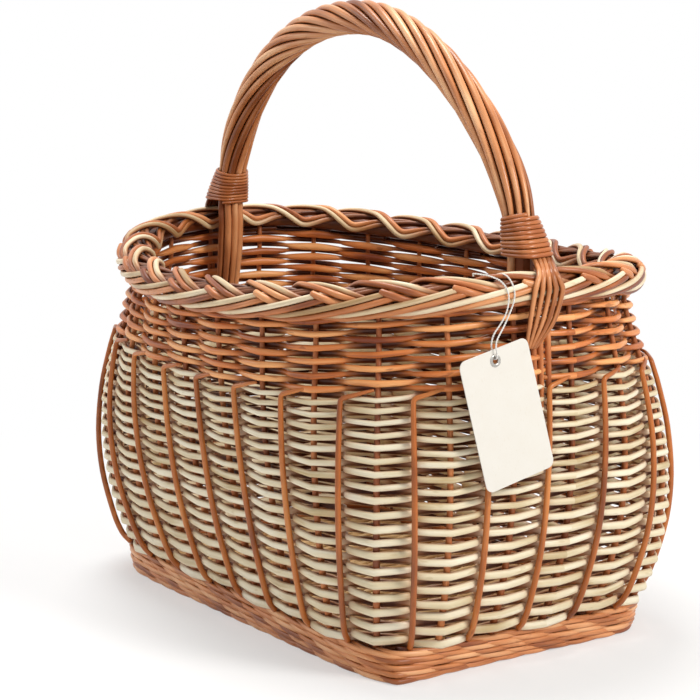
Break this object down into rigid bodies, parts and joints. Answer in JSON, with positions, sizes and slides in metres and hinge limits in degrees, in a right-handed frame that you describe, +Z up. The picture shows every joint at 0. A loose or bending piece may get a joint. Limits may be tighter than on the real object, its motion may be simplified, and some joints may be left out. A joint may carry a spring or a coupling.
{
  "type": "foraging basket",
  "caption": "Oval-mouthed woven willow gathering basket with a squarer foot, pale and brown bands, outer ribs, plaited rim, roped arch handle and a blank swing tag.",
  "frame": {"origin": "middle of the face that the basket stands on", "axes": "+Z up, X along the long axis that the handle spans, the tag hanging at the +X end"},
  "size_m": [0.428, 0.3188, 0.4157],
  "materials": {
    "pale_willow": "satin",
    "brown_willow": "satin",
    "stout_willow": "satin",
    "rib_willow": "satin",
    "handle_willow": "satin",
    "skein": "satin",
    "plait_willow": "satin",
    "base_willow": "matte",
    "card": "matte",
    "eyelet_steel": "satin",
    "string": "matte"
  },
  "bodies": {
    "basket": {"foot_border": "stout_willow", "base_weave": "base_willow", "base_stick_1": "base_willow", "base_stick_2": "base_willow", "base_stick_3": "base_willow", "base_stick_4": "base_willow", "lower_wall": "pale_willow", "upper_wall": "brown_willow", "rim_braid": "plait_willow", "rib_01": "rib_willow", "rib_02": "rib_willow", "rib_03": "rib_willow", "rib_04": "rib_willow", "rib_05": "rib_willow", "rib_06": "rib_willow", "rib_07": "rib_willow", "rib_08": "rib_willow", "rib_09": "rib_willow", "rib_10": "rib_willow", "rib_11": "rib_willow", "rib_12": "rib_willow", "rib_13": "rib_willow", "rib_14": "rib_willow", "rib_15": "rib_willow", "rib_16": "rib_willow", "rib_17": "rib_willow", "rib_18": "rib_willow", "rib_19": "rib_willow", "rib_20": "rib_willow", "rib_21": "rib_willow", "rib_22": "rib_willow", "rib_23": "rib_willow", "rib_24": "rib_willow", "rib_25": "rib_willow", "rib_26": "rib_willow", "handle_core": "handle_willow", "handle_rod_01": "handle_willow", "handle_rod_02": "handle_willow", "handle_rod_03": "handle_willow", "handle_rod_04": "handle_willow", "handle_rod_05": "handle_willow", "handle_rod_06": "handle_willow", "handle_rod_07": "handle_willow", "handle_rod_08": "handle_willow", "handle_rod_09": "handle_willow", "handle_rod_10": "handle_willow", "collar_front": "skein", "collar_back": "skein"},
    "string": {"tag_string": "string"},
    "tag": {"tag_card": "card", "tag_eyelet": "eyelet_steel"}
  },
  "joints": [
    {"name": "tag_lift", "type": "hinge", "parent": "basket", "child": "string", "pos_m": [0.1873, -0.04602, 0.2548], "axis": [-0.256, -0.9656, 0.0445], "range_deg": [0, 100]},
    {"name": "tag_turn", "type": "hinge", "parent": "string", "child": "tag", "pos_m": [0.2067, -0.054, 0.2055], "axis": [0.9954, 0, 0.0958], "range_deg": [-20, 20]}
  ]
}
